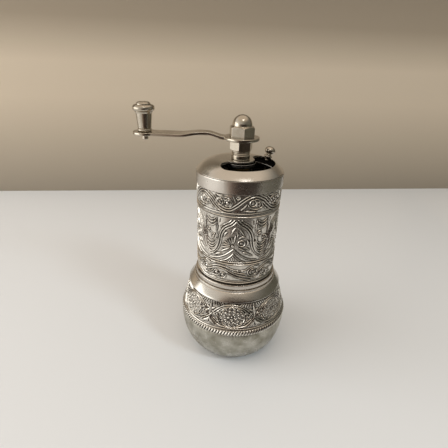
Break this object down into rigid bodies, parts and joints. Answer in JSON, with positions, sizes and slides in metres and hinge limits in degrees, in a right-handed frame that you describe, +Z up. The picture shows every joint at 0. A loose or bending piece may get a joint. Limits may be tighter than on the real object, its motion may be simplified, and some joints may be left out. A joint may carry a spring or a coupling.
{
  "type": "spice grinder",
  "caption": "Hand-cranked spice mill with a bulb-shaped jar, embossed tube, domed cap with a shuttered filling slot, and a crank with a knob.",
  "frame": {"origin": "on the mill's axis, at the flat underside of the jar", "axes": "+Z up along the shaft, crank arm towards -X at rest, front of the picture towards -Y"},
  "size_m": [0.0675, 0.049, 0.1101],
  "materials": {
    "embossed_plate": "embossed, plated, dark in the recesses",
    "satin_plate": "satin",
    "polished_plate": "polished",
    "steel": "machined",
    "burr_iron": "cast",
    "brass": "turned"
  },
  "bodies": {
    "jar": {"jar_bowl": "embossed_plate"},
    "mill": {"spigot_ring": "polished_plate", "body_shell": "embossed_plate", "cap": "satin_plate", "cap_bush": "brass", "shutter_washer": "steel", "shutter_clip": "steel", "shaft_bridge": "burr_iron", "bridge_bush": "brass", "outer_burr": "burr_iron", "burr_screw_1": "steel", "burr_screw_2": "steel", "burr_screw_3": "steel"},
    "shutter": {"shutter_plate": "steel", "shutter_pin": "polished_plate"},
    "crank": {"shaft": "steel", "drive_nut": "polished_plate", "crank_arm": "polished_plate", "acorn_nut": "polished_plate", "knob_pin": "polished_plate", "spring_washer": "steel", "burr_spring": "steel"},
    "knob": {"knob_grip": "polished_plate"},
    "cone": {"inner_burr": "burr_iron"},
    "adjuster": {"adjusting_nut": "brass"}
  },
  "joints": [
    {"name": "mill_lift", "type": "slide", "parent": "jar", "child": "mill", "axis": [0, 0, 1], "range_m": [0, 0.04]},
    {"name": "crank_turn", "type": "hinge", "parent": "mill", "child": "crank", "pos_m": [0, 0, 0.09], "axis": [0, 0, 1], "continuous": true},
    {"name": "knob_turn", "type": "hinge", "parent": "crank", "child": "knob", "pos_m": [-0.0383, 0, 0.104], "axis": [0, 0, 1], "continuous": true},
    {"name": "shutter_turn", "type": "hinge", "parent": "mill", "child": "shutter", "pos_m": [0, 0, 0.0885], "axis": [0, 0, 1], "range_deg": [-137, 2]},
    {"name": "cone_slide", "type": "slide", "parent": "crank", "child": "cone", "axis": [0, 0, 1], "range_m": [-0.0012, 0], "deforming": ["burr_spring"]},
    {"name": "adjuster_turn", "type": "hinge", "parent": "cone", "child": "adjuster", "pos_m": [0, 0, 0.0385], "axis": [0, 0, 1], "range_deg": [-540, 0]}
  ],
  "couplings": [
    {"joint": "adjuster_turn", "follows": "cone_slide", "rad_per_m": 7854}
  ]
}
